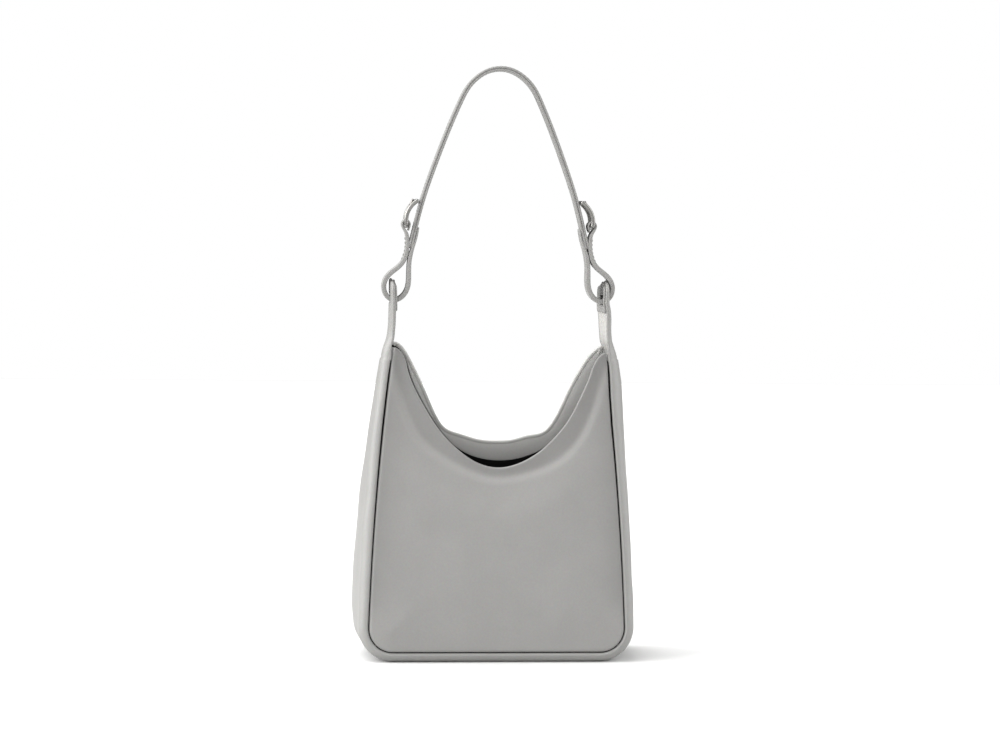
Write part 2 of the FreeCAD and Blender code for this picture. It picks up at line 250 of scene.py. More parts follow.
def grid_shell(p, outward, thickness, keep=None, offset=0.0, rim=4, rim_bulge=1.0):
    """A closed sheet with a rounded rim. The grid p (a, b, 3) is its outer face; outward is rough.
    Returns the points, the faces and a mark per face: 0 outer, 1 inner, 2 rim."""
    na, nb, _ = p.shape
    n = grid_normals(p)
    flip = np.sum(n * outward) < 0
    if flip:
        n = -n
    thickness = np.broadcast_to(np.asarray(thickness, float), (na, nb))
    offset = np.broadcast_to(np.asarray(offset, float), (na, nb))
    top = p - n * offset[..., None]
    low = top - n * thickness[..., None]
    keep = np.ones((na - 1, nb - 1), bool) if keep is None else keep
    idx = np.arange(na * nb).reshape(na, nb)
    quads = np.stack([idx[:-1, :-1], idx[1:, :-1], idx[1:, 1:], idx[:-1, 1:]], -1)[keep]
    if flip:
        quads = quads[:, ::-1]
    count = na * nb
    verts = [top.reshape(-1, 3), low.reshape(-1, 3)]
    faces = [tuple(q) for q in quads] + [tuple(q[::-1] + count) for q in quads]
    marks = [0] * len(quads) + [1] * len(quads)
    # each boundary edge gets a rounded strip
    directed = {(q[k], q[(k + 1) % 4]): True for q in quads for k in range(4)}
    border = [(a, b) for a, b in directed if (b, a) not in directed]
    flat_top, flat_low = verts[0], verts[1]
    flat_n = n.reshape(-1, 3)
    out = {}
    for a, b in border:
        d = flat_top[b] - flat_top[a]
        side = unit(np.cross(d, flat_n[a] + flat_n[b]))
        for v in (a, b):
            out[v] = out.get(v, 0) + side
    extra, place = [], {}
    t = thickness.reshape(-1)
    for v, direction in out.items():
        direction = unit(direction)
        direction = unit(direction - flat_n[v] * (direction @ flat_n[v]))
        middle = (flat_top[v] + flat_low[v]) / 2
        ring = []
        for k in range(1, rim + 1):
            angle = math.pi * k / (rim + 1)
            through = flat_n[v] * math.cos(angle) * t[v] / 2
            ring.append(middle + through + direction * math.sin(angle) * t[v] / 2 * rim_bulge)
        place[v] = 2 * count + len(extra)
        extra.extend(ring)
    for a, b in border:
        la = [a] + [place[a] + k for k in range(rim)] + [a + count]
        lb = [b] + [place[b] + k for k in range(rim)] + [b + count]
        for k in range(rim + 1):
            faces.append((lb[k], la[k], la[k + 1], lb[k + 1]))
            marks.append(2)
    allv = np.concatenate([verts[0], verts[1], np.array(extra).reshape(-1, 3)])
    used = np.unique(np.concatenate([np.array(f) for f in faces]))
    renum = np.full(len(allv), -1)
    renum[used] = np.arange(len(used))
    faces = [tuple(renum[list(f)]) for f in faces]
    return allv[used], faces, marks


def sweep(path, profile):
    """A closed strip with capped ends. profile(i, distance, length) gives ring points (n, y), with n along
    the path's left normal, and a mark per face."""
    p = np.asarray(path, float)
    d = directions(p)
    normal = np.stack([-d[:, 1], d[:, 0]], 1)
    s = run_length(p)
    rings, kinds = [], None
    for i in range(len(p)):
        ring, kinds = profile(i, s[i], s[-1])
        x = p[i, 0] + normal[i, 0] * ring[:, 0]
        z = p[i, 1] + normal[i, 1] * ring[:, 0]
        rings.append(np.stack([x, ring[:, 1], z], 1))
    m = len(rings[0])
    verts = np.concatenate(rings)
    faces, marks = [], []
    for i in range(len(rings) - 1):
        for k in range(m):
            q = (k + 1) % m
            faces.append((i * m + k, i * m + q, (i + 1) * m + q, (i + 1) * m + k))
            marks.append(kinds[k])
    for i, order in ((0, -1), (len(rings) - 1, 1)):
        centre = len(verts)
        verts = np.concatenate([verts, verts[i * m:(i + 1) * m].mean(0)[None]])
        for k in range(m):
            a, b = i * m + k, i * m + (k + 1) % m
            faces.append((a, b, centre) if order > 0 else (b, a, centre))
            marks.append(1)
    return verts, faces, marks


def strap_ring(low, high, half, crown=0.25):
    """A flat strap's section: a rounded rectangle, slightly crowned. Edge faces are marked 1."""
    r = min(0.8, (high - low) * 0.49)
    flat = half - r
    wide = [-1, -0.72, -0.4, 0, 0.4, 0.72, 1]
    turn = [math.pi / 2 * k / 3.0 for k in range(4)]
    pts = [(high + crown * (1 - w * w), w * flat) for w in wide]
    pts += [(high - r + r * math.cos(f), flat + r * math.sin(f)) for f in turn[1:]]
    pts += [(low + r - r * math.sin(f), flat + r * math.cos(f)) for f in turn[:3]]
    pts += [(low - crown * (1 - w * w) * 0.4, w * flat) for w in reversed(wide)]
    pts += [(low + r - r * math.cos(f), -flat - r * math.sin(f)) for f in turn[1:]]
    pts += [(high - r + r * math.sin(f), -flat - r * math.cos(f)) for f in turn[:3]]
    kinds = [0] * 6 + [1] * 7 + [0] * 6 + [1] * 7
    return np.array(pts), kinds


# ---------------------------------------------------------------- materials
COLOUR_A, COLOUR_B, COLOUR_OUT = 6, 7, 2  # the colour sockets of a Mix node
MOTTLE = 26.0  # size of the slow colour change, in mm
FINE = 1.6  # size of the fine colour change, in mm


def scaled(base, factor, lift=0.0):
    """A colour made lighter or darker, as four channels."""
    return [*[min(1, c * factor + lift) for c in base], 1]


def noise_texture(nt, coord, size, detail):
    """A noise texture with features of a size in mm."""
    tex = nt.nodes.new("ShaderNodeTexNoise")
    tex.inputs["Scale"].default_value = 1000 / size
    tex.inputs["Detail"].default_value = detail
    nt.links.new(coord.outputs["Object"], tex.inputs["Vector"])
    return tex


def colour_mix(nt, blend, factor, below):
    """A Mix node for colours, over the colour below."""
    mix = nt.nodes.new("ShaderNodeMix")
    mix.data_type = "RGBA"
    mix.blend_type = blend
    mix.inputs["Factor"].default_value = factor
    nt.links.new(below, mix.inputs[COLOUR_A])
    return mix


def bump_height(nt, coord, kind, size):
    """The height output of one layer of surface relief."""
    if kind == "noise":
        return noise_texture(nt, coord, size, 4).outputs["Fac"]
    if kind == "cells":
        tex = nt.nodes.new("ShaderNodeTexVoronoi")
        tex.feature = "SMOOTH_F1"
        tex.inputs["Scale"].default_value = 1000 / size
        out = tex.outputs["Distance"]
    else:
        bands_per_unit = 3.1
        tex = nt.nodes.new("ShaderNodeTexWave")
        tex.wave_type = "BANDS"
        tex.bands_direction = "DIAGONAL"
        tex.inputs["Scale"].default_value = 1000 / size / bands_per_unit
        tex.inputs["Distortion"].default_value = 0.6
        out = tex.outputs["Fac"]
    nt.links.new(coord.outputs["Object"], tex.inputs["Vector"])
    return out


def worn_edges(nt, base, colour, wear):
    """A lighter colour where the surface is sharply convex."""
    geo = nt.nodes.new("ShaderNodeNewGeometry")
    edge = nt.nodes.new("ShaderNodeMapRange")
    edge.inputs["From Min"].default_value = 0.5
    edge.inputs["From Max"].default_value = 0.62
    nt.links.new(geo.outputs["Pointiness"], edge.inputs["Value"])
    amount = nt.nodes.new("ShaderNodeMath")
    amount.operation = "MULTIPLY"
    amount.inputs[1].default_value = wear
    nt.links.new(edge.outputs["Result"], amount.inputs[0])
    lighter = colour_mix(nt, "MIX", 0.5, colour)
    lighter.inputs[COLOUR_B].default_value = scaled(base, 1.45, 0.05)
    nt.links.new(amount.outputs["Value"], lighter.inputs["Factor"])
    return lighter.outputs[COLOUR_OUT]


def node_material(
    name, base, variation, rough, bumps, metallic=0.0, sheen=0.0, specular=0.5, wear=0.0, use_painted_shading=False,
):
    """A procedural material. bumps is a list of (kind, size in mm, strength, distance in mm)."""
    mat = bpy.data.materials.new(name)
    mat.use_nodes = True
    nt = mat.node_tree
    nodes, links = nt.nodes, nt.links
    bsdf = nodes["Principled BSDF"]
    coord = nodes.new("ShaderNodeTexCoord")
    noise = noise_texture(nt, coord, MOTTLE, 5)
    noise.inputs["Roughness"].default_value = 0.55
    ramp = nodes.new("ShaderNodeValToRGB")
    low, high = ramp.color_ramp.elements
    low.position, low.color = 0.28, scaled(base, 1 - variation)
    high.position, high.color = 0.72, scaled(base, 1 + variation)
    links.new(noise.outputs["Fac"], ramp.inputs["Fac"])
    grained = colour_mix(nt, "OVERLAY", 0.12, ramp.outputs["Color"])
    links.new(noise_texture(nt, coord, FINE, 3).outputs["Color"], grained.inputs[COLOUR_B])
    colour = grained.outputs[COLOUR_OUT]
    # painted shade and painted highlight: a brightness kept per point, multiplied into the colour
    if use_painted_shading:
        painted_shading = nodes.new("ShaderNodeVertexColor")
        painted_shading.layer_name = "painted_shading"
        darker = colour_mix(nt, "MULTIPLY", 1.0, colour)
        links.new(painted_shading.outputs["Color"], darker.inputs[COLOUR_B])
        colour = darker.outputs[COLOUR_OUT]
    if wear:
        colour = worn_edges(nt, base, colour, wear)
    links.new(colour, bsdf.inputs["Base Color"])
    roughness = nodes.new("ShaderNodeMapRange")
    roughness.inputs["To Min"].default_value = rough[0]
    roughness.inputs["To Max"].default_value = rough[1]
    links.new(noise.outputs["Fac"], roughness.inputs["Value"])
    links.new(roughness.outputs["Result"], bsdf.inputs["Roughness"])
    bsdf.inputs["Metallic"].default_value = metallic
    bsdf.inputs["Specular IOR Level"].default_value = specular
    bsdf.inputs["Sheen Weight"].default_value = sheen
    bsdf.inputs["Sheen Roughness"].default_value = 0.45
    last = None
    for kind, size, strength, distance in bumps:
        height = bump_height(nt, coord, kind, size)
        bump = nodes.new("ShaderNodeBump")
        bump.inputs["Strength"].default_value = strength
        bump.inputs["Distance"].default_value = distance * MM
        links.new(height, bump.inputs["Height"])
        if last is not None:
            links.new(last, bump.inputs["Normal"])
        last = bump.outputs["Normal"]
    links.new(last, bsdf.inputs["Normal"])
    return mat


GRAIN = [("noise", 18.0, 0.25, 1.2), ("cells", 1.5, 0.22, 0.12), ("noise", 0.7, 0.12, 0.1)]
FINE_GRAIN = [("noise", 12.0, 0.12, 0.4), ("cells", 1.2, 0.1, 0.05), ("noise", 0.6, 0.05, 0.03)]
PAINT_RELIEF = [("noise", 5.0, 0.08, 0.08), ("noise", 0.8, 0.03, 0.03)]
NAP = [("noise", 1.2, 0.4, 0.2), ("noise", 0.4, 0.3, 0.1)]
TWILL = [("weave", 0.9, 0.5, 0.15)]
SLACK = [("noise", 9.0, 0.3, 0.6)]
CORD = [("weave", 0.5, 0.5, 0.1)]
POLISH = [("noise", 1.6, 0.05, 0.05), ("noise", 0.25, 0.05, 0.02)]
PLATING = [("noise", 0.8, 0.08, 0.05)]
SATIN = {"specular": 0.42, "wear": 0.10}
# the panels' leather, which takes the painted shade and painted highlight kept per point
LEATHER = node_material("leather", (0.197, 0.194, 0.188), 0.03, (0.40, 0.52), GRAIN, use_painted_shading=True, **SATIN)
# the facing is the same grey leather made nearly twice as light: painted light that lifts the shade inside
# the mouth
FACING_LEATHER_PAINTED_LIGHT = node_material(
    "facing_leather", (0.37, 0.366, 0.354), 0.03, (0.45, 0.58), GRAIN, specular=0.4)
# the rolled rim is the same leather made lighter: a painted highlight where light falls on its top
RIM_LEATHER_PAINTED_HIGHLIGHT = node_material("rim_leather_painted_highlight", (0.36, 0.356, 0.344), 0.03, (0.40, 0.52), GRAIN, specular=0.42)
STRIP_LEATHER = node_material("strip_leather", (0.204, 0.202, 0.195), 0.03, (0.40, 0.52), GRAIN, **SATIN)
STRAP_LEATHER = node_material(
    "strap_leather", (0.214, 0.212, 0.205), 0.03, (0.42, 0.55), FINE_GRAIN, specular=0.4, wear=0.12)
EDGE_PAINT = node_material("edge_paint", (0.2, 0.197, 0.19), 0.02, (0.42, 0.52), PAINT_RELIEF)
SUEDE = node_material("flesh_side", (0.36, 0.355, 0.34), 0.06, (0.75, 0.9), NAP, sheen=0.2)
CLOTH = node_material(
    "lining_cloth", (0.0045, 0.0045, 0.0042), 0.2, (0.8, 0.95), TWILL + SLACK, specular=0.1)
THREAD = node_material("thread", (0.2, 0.197, 0.19), 0.08, (0.6, 0.75), CORD, sheen=0.1)
NICKEL = node_material("nickel", (0.2, 0.197, 0.188), 0.06, (0.2, 0.32), POLISH, metallic=1.0)
SNAP = node_material("snap_metal", (0.55, 0.54, 0.51), 0.05, (0.25, 0.4), PLATING, metallic=1.0)
BOARD = node_material("board_cloth", (0.014, 0.014, 0.013), 0.2, (0.8, 0.95), TWILL, specular=0.2)


# ---------------------------------------------------------------- the two panels
PANEL_W, PANEL_H = 205, 185
A_BOTTOM = A_CORNER + CORNER_R * math.radians(45.9)  # a panel's bottom edge ends halfway round the corner


def clustered(length, step, near=(0.0, 0.15, 0.4, 0.8, 1.3, 2.0, 3.0, 4.4, 6.2, 8.6)):
    """Shares of length, dense at the ends and evenly spaced between."""
    a = np.array(near) / length
    inner = np.linspace(a[-1], 1 - a[-1], max(4, int(length / step)))[1:-1]
    return np.concatenate([a, inner, 1 - a[::-1]])


def coons(mouth, inset, u, v, end_x):
    """Points (x, z) of a patch between the seam line and a mouth edge, at shares u across and v up."""
    b, _ = outline(np.interp(u, [0, 1], [-A_BOTTOM, A_BOTTOM]), inset)
    t = drawn_down(mouth, 1500, BEAD * 0.36)
    t = t[np.abs(t[:, 0]) <= end_x]
    s = run_length(t)
    s /= s[-1]
    by_x = (t[:, 0] - t[0, 0]) / (t[-1, 0] - t[0, 0])
    share = 0.55 * s + 0.45 * by_x
    top = np.stack([np.interp(u, share, t[:, 0]), np.interp(u, share, t[:, 1])], 1)
    fine = np.linspace(A_BOTTOM, A_NECK + 40, 3000)
    side, _ = outline(fine, inset)
    end = fine[np.argmin(np.abs(side[:, 1] - top[-1, 1]))]
    right, _ = outline(A_BOTTOM + (end - A_BOTTOM) * v, inset)
    left = right * [-1, 1]
    right = right + (top[-1] - right[-1]) * (v[:, None] ** 6)
    left = left + (top[0] - left[-1]) * (v[:, None] ** 6)
    U, V = u[:, None, None], v[None, :, None]
    corner = (1 - U) * (1 - V) * b[0] + U * (1 - V) * b[-1] + (1 - U) * V * top[0] + U * V * top[-1]
    ruled = (1 - V) * b[:, None] + V * top[:, None]
    return ruled + (1 - U) * left[None] + U * right[None] - corner


def roll_in(d, radius=2.4):
    """How far leather turns in at distance d from its seam."""
    q = np.clip(radius - d, 0, radius)
    return radius - np.sqrt(np.maximum(radius**2 - q**2, 0))


def above_line(points, line):
    """The signed distance of points (x, z) from a line that runs left to right: positive above it."""
    height = points[:, 1] - np.interp(points[:, 0], line[:, 0], line[:, 1])
    return distance_to(points, line) * np.sign(height)


def face_depth(x, z, seed, mouth_line, seam_line, crease=None):
    """The distance from the middle plane to a panel's outside, and from the mouth edge to each point."""
    belly = 4.2
    flat = np.stack([x.ravel(), z.ravel()], 1)
    d = distance_to(flat, seam_line).reshape(x.shape)
    e = distance_to(flat, mouth_line).reshape(x.shape)
    swell = belly * (1 - np.exp(-((d / 34.0) ** 1.25)))
    low = 1 - 0.45 * smooth(z, 110, 250)
    edge = 0.12 + 0.88 * smooth(e, 9.0, 46.0)
    depth = half_depth(z) + swell * low * edge
    depth = depth + 0.42 * wave(x, z, seed) * smooth(d, 4, 30) * (0.35 + 0.65 * smooth(e, 10, 40))
    # the turned mouth edge stands a little proud along its very rim
    depth = depth + 0.5 * (1 - smooth(e, 0.0, 7.0))
    if crease is not None:
        off = above_line(flat, crease).reshape(x.shape)
        fall = smooth(off, -4.5, 2.0) * (1 - 0.75 * smooth(off, 2.0, 14.0))
        depth = depth - 1.3 * fall * smooth(d, 0.0, 12.0)
    return depth - roll_in(d), e


def seam_polyline(inset):
    """The seam line round the whole bag, a little past its ears."""
    a = np.linspace(-(A_NECK + 18), A_NECK + 18, 700)
    return outline(a, inset)[0]


def facing_out(grid, axis, sign):
    """A direction field over a grid of points."""
    field = np.zeros_like(grid)
    field[..., axis] = sign
    return field


def build_panel(side, mouth, lining_edge, prefix, seed, crease=None):
    """A panel with its facing and lining: side is -1 for the front and 1 for the back."""
    end_x = EAR_END[prefix]
    mouth_line = cubic(mouth, 420)
    seam_line = seam_polyline(SEAM + GROOVE)
    fold = None if crease is None else cubic(crease, 200)

    def depth_at(x, z):
        return face_depth(x, z, seed, mouth_line, seam_line, fold)

    flat = coons(mouth, SEAM + GROOVE, clustered(PANEL_W, 1.9), clustered(PANEL_H, 2.1), end_x)
    x, z = flat[..., 0], flat[..., 1]
    depth, e = depth_at(x, z)
    p = np.stack([x, side * depth, z], -1)
    thickness = LEATHER_T + (BEAD - LEATHER_T) * (1 - smooth(e, 2.2, 5.4))
    verts, faces, marks = grid_shell(p, facing_out(p, 1, side), thickness, rim=7, rim_bulge=0.72)
    # painted shade: up to 20% darker beside the side seams, left out along the bottom; at the crease,
    # painted shade 16% darker over the strip above it up to the mouth, and a painted highlight up to 9%
    # lighter in a band just below it
    on_plane = verts[:, [0, 2]]
    beside = distance_to(on_plane, seam_line) + 60 * (1 - smooth(on_plane[:, 1], 4, 60))
    painted_shading = 1 - 0.2 * np.exp(-((beside / 15.0) ** 1.2))
    if fold is not None:
        above = above_line(on_plane, fold)
        painted_shading = painted_shading - 0.16 * smooth(above, 0.0, 5.0) + 0.09 * np.exp(-((above + 1.5) / 3.5) ** 2)
    # the back panel's rim faces take the lighter rim leather as a painted highlight; the front panel's rim
    # stays plain leather
    skins = [LEATHER, SUEDE, RIM_LEATHER_PAINTED_HIGHLIGHT if crease is None else LEATHER]
    panel = make_object(prefix + "_panel_leather", twist(verts), faces, skins, marks, painted_shading=painted_shading)
    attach(panel, "bag")
    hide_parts(prefix + "_panel")

    # the facing: a strip of leather behind the mouth edge, down to the lining, in the lighter facing
    # leather, which is painted light against the shade inside the mouth
    upper = drawn_down(mouth, 260, 2.6)
    lower = cubic(lining_edge, 260)
    across = np.array([0.0, 0.04, 0.12, 0.28, 0.5, 0.72, 0.88, 0.96, 1.0])
    strip = upper[:, None] + (lower - upper)[:, None] * across[None, :, None]
    strip = strip[np.abs(strip).max(1)[:, 0] <= end_x - 0.6]
    sx, sz = strip[..., 0], strip[..., 1]
    depth, _ = depth_at(sx, sz)
    p = np.stack([sx, side * (depth - 1.75), sz], -1)[:, ::-1]
    verts, faces, marks = grid_shell(p, facing_out(p, 1, -side), FACING_T, offset=-FACING_T, rim=3)
    skins = [FACING_LEATHER_PAINTED_LIGHT, SUEDE, FACING_LEATHER_PAINTED_LIGHT]
    strip_object = make_object(prefix + "_facing_leather", twist(verts), faces, skins, marks)
    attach(strip_object, "bag")
    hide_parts(prefix + "_facing")

    # the lining inside the panel, tucked behind the facing
    lu = clustered(PANEL_W, 4.5, near=(0.0, 1.0, 3.0))
    lv = clustered(PANEL_H - 10, 4.5, near=(0.0, 1.0, 3.0))
    flat = coons([(mx, mz + 0.6) for mx, mz in lining_edge], SEAM - 0.6, lu, lv, end_x - 0.8)
    x, z = flat[..., 0], flat[..., 1]
    depth, _ = depth_at(x, z)
    soft = 0.1 * wave(x * 2.1, z * 1.4, seed + 50)
    p = np.stack([x, side * (depth - 2.25 + soft), z], -1)
    verts, faces, _ = grid_shell(p, facing_out(p, 1, side), LINING_T, rim=2)
    lining = make_object(prefix + "_lining_cloth", twist(verts), faces, [CLOTH])
    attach(lining, "bag")
    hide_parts(prefix + "_lining")


# the front facing is 14 mm deep in the middle and narrower at the ears
FRONT_SEAM = [(x, z - 14.0 + 9.5 * (abs(x) / 92) ** 3) for x, z in FRONT_MOUTH]
build_panel(-1, FRONT_MOUTH, FRONT_SEAM, "front", 3, CREASE)
build_panel(1, BACK_MOUTH, BACK_SEAM, "back", 11)


# ---------------------------------------------------------------- the side strip, with the necks at its ends
def neck_half(z):
    """Half the width of the neck along Y."""
    z = np.asarray(z, float)
    heights = [NECK_FOOT, 262, 268, 274, 279, 289, 301, 314]
    w = np.interp(z, heights, [13.5, 12.9, 12.0, 10.8, 10.5, 11.2, 13.4, 14.0])
    top = np.clip((z - 313.0) / 9.7, 0, 1)
    return w * np.sqrt(np.clip(1 - 0.92 * top**2.6, 0, 1))


def steps(stops, counts):
    """Values that run through stops, with counts of them from each stop to the next, both ends included."""
    runs = [np.linspace(a, b, n)[:-1] for a, b, n in zip(stops[:-1], stops[1:], counts)]
    return np.concatenate(runs + [[stops[-1]]])


def strip_stations():
    """Points (x, z) along the strip, from the left head round the base to the right head, and normals."""
    neck = cubic(NECK_PATH, 400)
    zs = steps([NECK_FOOT, 297, SLOT_LOW, SLOT_HIGH, 318, NECK_TOP], [26, 4, 6, 5, 9])
    pts = np.stack([np.interp(zs, neck[:, 1], neck[:, 0]), zs], 1)
    d = directions(pts)
    normals = np.stack([d[:, 1], -d[:, 0]], 1)
    stops = [-A_NECK, -A_SIDE, -A_CORNER, A_CORNER, A_SIDE, A_NECK]
    body, body_n = outline(steps(stops, [84, 26, 61, 26, 84]))
    flip = np.array([-1, 1])
    p = np.concatenate([(pts * flip)[::-1][:-1], body, pts[1:]])
    n = np.concatenate([(normals * flip)[::-1][:-1], body_n, normals[1:]])
    return p, n


LIP_HEIGHTS = [0, 20, 60, 140, 200, 245, 258, 266, 276, 330]
# where the lip's edge lies from the seam line, up to the ears; above them the lip fades into the neck
SEAM_OPENING = [-0.4, -0.3, -0.25, -0.5, -0.9, -0.9, -0.4]
LIP = [SEAM + opening for opening in SEAM_OPENING] + [7.2, 3.6, 3.0]
CUP_HEIGHTS = [255, 262, 270, 280, 296, 302, 314, 323]
CUP = [7.4, 6.6, 4.8, 3.4, 3.2, 2.8, 2.2, 1.7]
SWELL_HEIGHTS = [6, 22, 45, 110, 160, 205, 235, 258, 272]
SWELL_LEFT = [0, 3.2, 6.2, 6.4, 4.8, 3.0, 2.2, 1.0, 0]
SWELL_RIGHT = [0, 2.0, 2.8, 3.0, 3.4, 4.2, 4.6, 3.0, 0]
TURN_R = 8.0  # the radius of the strip's turned lips


def lipped(f, lip, half):
    """A flat strip with turned lips: (y, depth) over its width, and the distance left to its edge."""
    r = min(TURN_R, lip * 0.94, half * 0.9)
    flat = half - r
    arc = math.pi * r / 2
    q = np.abs(f) * ((lip - r) + arc + flat)
    angle = (q - flat) / r
    on_arc = (q > flat) & (q <= flat + arc)
    past_arc = q > flat + arc
    y = np.where(q <= flat, q, 0)
    y = np.where(on_arc, flat + r * np.sin(angle), y)
    y = np.where(past_arc, half, y)
    depth = np.where(on_arc, r - r * np.cos(angle), 0.0)
    depth = np.where(past_arc, r + (q - flat - arc), depth)
    return y, depth, (lip - r) + arc + flat - q


def strip_section(p, n, f):
    """The strip's grid of points. f runs over its width, from -1 at the front edge to 1 at the back edge."""
    z = p[:, 1]
    blend = smooth(z, 258, 276)
    lip = np.interp(z, LIP_HEIGHTS, LIP)
    seam_z = z - n[:, 1] * lip
    ear = smooth(z, 256, 266)
    h = np.where(z > 262, neck_half(z), half_depth(seam_z))
    h = np.where((z > 250) & (z <= 266), half_depth(z) * (1 - ear) + neck_half(z) * ear, h)
    rows = []
    for i in range(len(p)):
        b = blend[i]
        y, depth, left_over = lipped(f, lip[i], h[i])
        # the edge turns in at the seam, and the neck is a shallow cup instead
        y = y - roll_in(left_over, 2.3) * (1 - b)
        cup = np.interp(z[i], CUP_HEIGHTS, CUP) * np.abs(f) ** 2.6
        y = (1 - b) * y + b * np.abs(f) * h[i]
        depth = (1 - b) * depth + b * cup
        y = y * np.sign(f)
        # the sides bulge a little between the seams, and the base stays flat
        swell = np.interp(z[i], SWELL_HEIGHTS, SWELL_LEFT if p[i, 0] < 0 else SWELL_RIGHT)
        bulge = swell * np.cos(np.clip(y / max(h[i], 1), -1, 1) * math.pi / 2) ** 2
        ripple = 0.35 * wave(y * 1.3, p[i, 1] + p[i, 0] * 0.3, 21)
        ripple = ripple * smooth(z[i], 16, 60) * (1 - smooth(np.abs(f), 0.6, 0.95))
        depth = depth - bulge + ripple
        rows.append(np.stack([p[i, 0] - n[i, 0] * depth, y, p[i, 1] - n[i, 1] * depth], 1))
    return np.array(rows), z


def strip_f():
    """Shares of the strip's half width, dense where the lip turns and at its edge, on both sides."""
    edge = [0.952, 0.964, 0.974, 0.982, 0.989, 0.995, 1.0]
    half = np.concatenate([np.linspace(0, SLOT_SHARE, 13), np.linspace(SLOT_SHARE, 0.94, 17)[1:], edge])
    return np.concatenate([-half[::-1][:-1], half])


def slot_cells(z, f, share):
    """The grid cells that the neck's slot takes out."""
    mid = (z[:-1] + z[1:]) / 2
    across = (np.abs(f[:-1]) + np.abs(f[1:])) / 2
    return (mid[:, None] > SLOT_LOW) & (mid[:, None] < SLOT_HIGH) & (across[None, :] < share)


def strip_outward(grid, n):
    """The strip's outward normals over its grid."""
    field = np.zeros_like(grid)
    field[..., 0] = n[:, None, 0]
    field[..., 2] = n[:, None, 1]
    return field


def build_side_strip(p, n):
    """The side strip and both necks as one piece of leather, which bends at the necks' waists."""
    f = strip_f()
    grid, z = strip_section(p, n, f)
    t = LEATHER_T + 1.2 * smooth(z, 262, 282)
    t = np.repeat(t[:, None], len(f), 1)
    keep = ~slot_cells(z, f, SLOT_SHARE)
    verts, faces, marks = grid_shell(grid, strip_outward(grid, n), t, keep=keep, rim=4)
    skins = [STRIP_LEATHER, SUEDE, EDGE_PAINT]
    strip = make_object("side_strip_leather", twist(verts), faces, skins, marks)
    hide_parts("gusset", "left_neck", "right_neck")
    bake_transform(strip)


def build_side_lining(p, n):
    """The strip's lining stays inside the bag."""
    low = p[:, 1] < 256
    p, n = p[low][::2], n[low][::2]
    grid, _ = strip_section(p, n, np.linspace(-1.0, 1.0, 41))
    verts, faces, _ = grid_shell(grid, strip_outward(grid, n), LINING_T, offset=1.95, rim=2)
    lining = make_object("side_lining_cloth", twist(verts), faces, [CLOTH])
    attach(lining, "bag")
    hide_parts("gusset_lining")


def build_head_ply(p, n, side, name):
    """The second ply inside each neck's head."""
    on = (p[:, 1] > 296.9) & (p[:, 1] < 322.4) & (np.sign(p[:, 0]) == side)
    f = strip_f() * 0.97
    grid, z = strip_section(p[on], n[on], f)
    keep = ~slot_cells(z, f, SLOT_SHARE - 0.02)
    verts, faces, marks = grid_shell(grid, facing_out(grid, 0, side), 1.9, keep=keep, offset=3.02, rim=3)
    skins = [STRIP_LEATHER, STRIP_LEATHER, EDGE_PAINT]
    patch = make_object(name + "_head_ply", twist(verts), faces, skins, marks)
    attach(patch, "necks")
    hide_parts(name + "_neck_patch")


STRIP_POINTS, STRIP_NORMALS = strip_stations()
build_side_strip(STRIP_POINTS, STRIP_NORMALS)
build_side_lining(STRIP_POINTS, STRIP_NORMALS)
build_head_ply(STRIP_POINTS, STRIP_NORMALS, 1, "right")
build_head_ply(STRIP_POINTS, STRIP_NORMALS, -1, "left")


# ---------------------------------------------------------------- straps
def ply(path, low, high):
    """One layer of the long strap, between two distances from its middle line, with rounded ends."""
    def profile(i, at, length):
        end = min(at, length - at)
        return strap_ring(low, high, STRAP_HALF - 1.6 * (1 - min(1.0, end / 3.0)) ** 2)
    return sweep(path, profile)


def cut_away(o, cutter, use_self=False):
    """Takes the cutter's shape out of an object and removes the cutter."""
    mod = o.modifiers.new("cut", "BOOLEAN")
    mod.operation = "DIFFERENCE"
    mod.solver = "EXACT"
    mod.use_self = use_self
    mod.object = cutter
    graph = bpy.context.evaluated_depsgraph_get()
    mesh = bpy.data.meshes.new_from_object(o.evaluated_get(graph))
    o.modifiers.clear()
    o.data = mesh
    bpy.data.objects.remove(cutter, do_unlink=True)


def cut_holes(o, centres):
    """Punches round holes, given as ((x, z), (nx, nz))."""
    sides, reach = 20, 9
    for k, ((x, z), (nx, nz)) in enumerate(centres):
        ring = []
        for depth in (-reach, reach):
            for j in range(sides):
                f = 2 * math.pi * j / sides
                along, wide = HOLE_R * math.cos(f), HOLE_R * math.sin(f)
                ring.append((x + nx * depth + nz * along, wide, z + nz * depth - nx * along))
        faces = [(j, (j + 1) % sides, sides + (j + 1) % sides, sides + j) for j in range(sides)]
        faces += [tuple(reversed(range(sides))), tuple(range(sides, 2 * sides))]
        cutter = make_object("cutter_%d" % k, np.array(ring), faces, [EDGE_PAINT], smooth_faces=False)
        cut_away(o, cutter)


# a stitch's rings: their places from -1 to 1 along it, and their sizes
STITCH = [(-1, 0.25), (-0.72, 0.85), (0, 1.0), (0.72, 0.85), (1, 0.25)]
STITCH_SIDES = 6


def stitch_points(length=2.3, radius=0.24, sunk=0.04):
    """One stitch's points as (along, across, up), with its ends diving into the leather."""
    points = []
    for c, r in STITCH:
        for j in range(STITCH_SIDES):
            f = 2 * math.pi * j / STITCH_SIDES
            up = r * radius * math.sin(f) - sunk - 0.16 * abs(c) ** 3
            points.append((c * length / 2, r * radius * math.cos(f), up))
    return points


